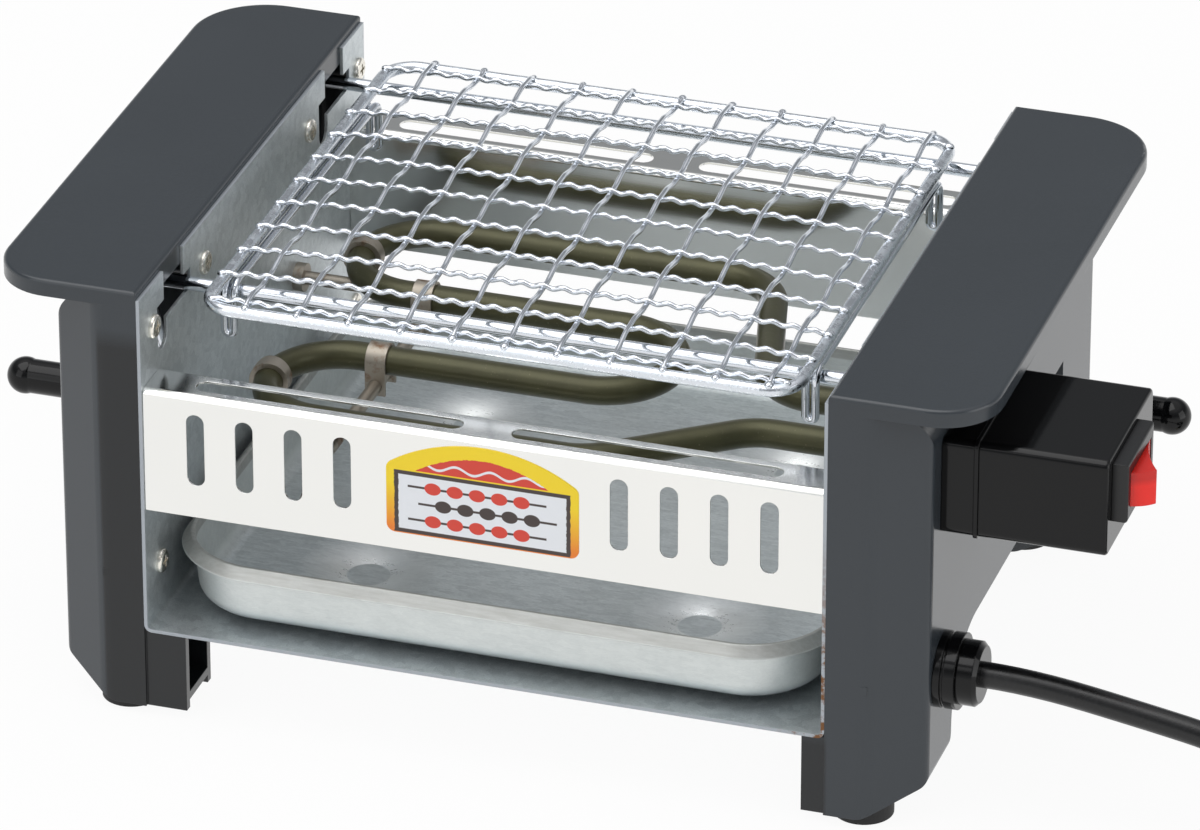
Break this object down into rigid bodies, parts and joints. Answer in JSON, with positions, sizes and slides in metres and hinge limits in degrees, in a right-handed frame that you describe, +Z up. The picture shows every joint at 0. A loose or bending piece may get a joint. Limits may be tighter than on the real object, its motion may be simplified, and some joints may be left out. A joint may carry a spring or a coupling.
{
  "type": "electric skewer grill",
  "caption": "Tabletop electric grill: steel trough between two plastic legs, tube heater, skewer net on sliding rods, drip tray, rocker switch and mains lead.",
  "frame": {"origin": "middle of the grill's footprint at table height, with the mains lead left out", "axes": "+X to the right as seen from the front with the label, +Y to the back, +Z up"},
  "size_m": [0.4955, 0.188, 0.133],
  "materials": {
    "galvanised_steel": "satin, spangled",
    "bright_sheet": "bright, near mirror",
    "chromed_wire": "polished",
    "heater_steel": "dull, heat stained",
    "strap_steel": "dull",
    "screw_steel": "nickel plated",
    "dark_plastic": "satin moulded",
    "gloss_black": "gloss",
    "red_plastic": "gloss",
    "foot_rubber": "matt",
    "label_foil": "gloss film",
    "cord_rubber": "satin",
    "plug_plastic": "satin",
    "terminal_brass": "bright",
    "seal_ceramic": "fired ceramic",
    "lead_sleeve": "woven glass sleeve"
  },
  "bodies": {
    "grill": {"chassis": "galvanised_steel", "front_panel": "bright_sheet", "rear_panel": "bright_sheet", "label_plate": "label_foil", "left_leg": "dark_plastic", "right_leg": "dark_plastic", "rubber_feet": "foot_rubber", "plate_screws": "screw_steel", "heater_tube": "heater_steel", "heater_seals": "seal_ceramic", "heater_pins": "screw_steel", "heater_collars": "strap_steel", "heater_stay": "strap_steel", "stay_ring": "strap_steel", "heater_straps": "strap_steel", "switch_box_base": "gloss_black", "switch_box_cover": "gloss_black", "switch_body": "gloss_black", "rocker_pin": "screw_steel", "switch_terminals": "terminal_brass", "cord_gland": "gloss_black", "gland_back_nut": "gloss_black", "gland_cap": "gloss_black", "mains_cord": "cord_rubber", "cord_coil": "cord_rubber", "cord_tie": "plug_plastic", "plug_body": "plug_plastic", "plug_blades": "terminal_brass", "live_lead": "lead_sleeve", "switched_lead": "lead_sleeve", "neutral_lead": "lead_sleeve", "fused_lead": "lead_sleeve", "thermal_fuse": "seal_ceramic"},
    "tray": {"drip_tray": "galvanised_steel"},
    "front_carrier": {"front_rod": "chromed_wire", "left_knob": "gloss_black"},
    "rear_carrier": {"rear_rod": "chromed_wire", "right_knob": "gloss_black"},
    "net": {"net_border": "chromed_wire", "net_grid": "chromed_wire", "left_net_rail": "chromed_wire", "right_net_rail": "chromed_wire"},
    "switch_rocker": {"rocker": "red_plastic"}
  },
  "joints": [
    {"name": "tray_slide", "type": "slide", "parent": "grill", "child": "tray", "axis": [0, -1, 0], "range_m": [0, 0.16]},
    {"name": "front_rod_slide", "type": "slide", "parent": "grill", "child": "front_carrier", "axis": [0, -1, 0], "range_m": [0, 0.0206]},
    {"name": "rear_rod_slide", "type": "slide", "parent": "grill", "child": "rear_carrier", "axis": [0, -1, 0], "range_m": [0, 0.0206]},
    {"name": "net_lift", "type": "slide", "parent": "front_carrier", "child": "net", "axis": [0, 0, 1], "range_m": [0, 0.06]},
    {"name": "rocker_pivot", "type": "hinge", "parent": "grill", "child": "switch_rocker", "pos_m": [0.16549, -0.05885, 0.1047], "axis": [0, 0, 1], "range_deg": [-40, 0]}
  ],
  "couplings": [
    {"joint": "rear_rod_slide", "follows": "front_rod_slide", "ratio": 1}
  ]
}
